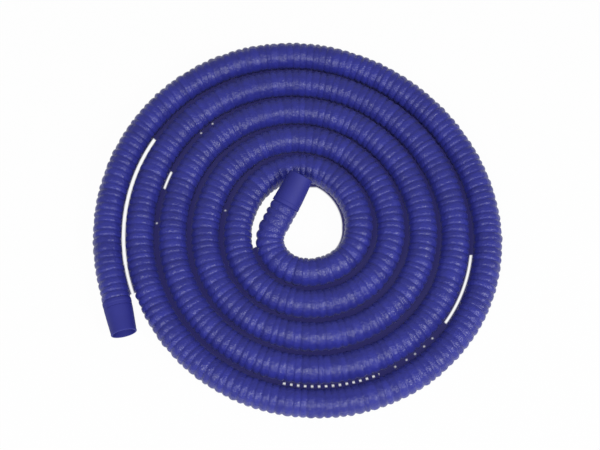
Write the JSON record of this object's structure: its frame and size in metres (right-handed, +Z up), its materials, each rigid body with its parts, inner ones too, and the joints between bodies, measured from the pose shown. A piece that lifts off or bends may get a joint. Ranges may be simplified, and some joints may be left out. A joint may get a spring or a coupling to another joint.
{
  "type": "pool vacuum hose",
  "caption": "Ribbed pool vacuum hose put away as a flat spiral coil, with a fixed cuff on its inner end and a cuff on its outer end that turns on a bonded collar.",
  "frame": {"origin": "on the ground, under the middle of the coil's bounding box", "axes": "+Z up out of the coil; the outer end lies at -X and its cuff points towards -Y; +X is the coil's longest extent"},
  "size_m": [0.569, 0.5572, 0.0637],
  "materials": {
    "hose": "semi-gloss blow-moulded polyethylene and EVA blend",
    "cuff": "satin soft moulded polyethylene"
  },
  "bodies": {
    "hose": {"hose_inner_end": "hose", "hose_coil": "hose", "hose_outer_end": "hose", "fixed_cuff": "cuff", "swivel_collar": "cuff"},
    "swivel": {"swivel_cuff": "cuff"}
  },
  "joints": [
    {"name": "swivel_cuff_turn", "type": "hinge", "parent": "hose", "child": "swivel", "pos_m": [-0.24637, -0.11887, 0.02], "axis": [0.2677, -0.9635, 0], "continuous": true}
  ]
}
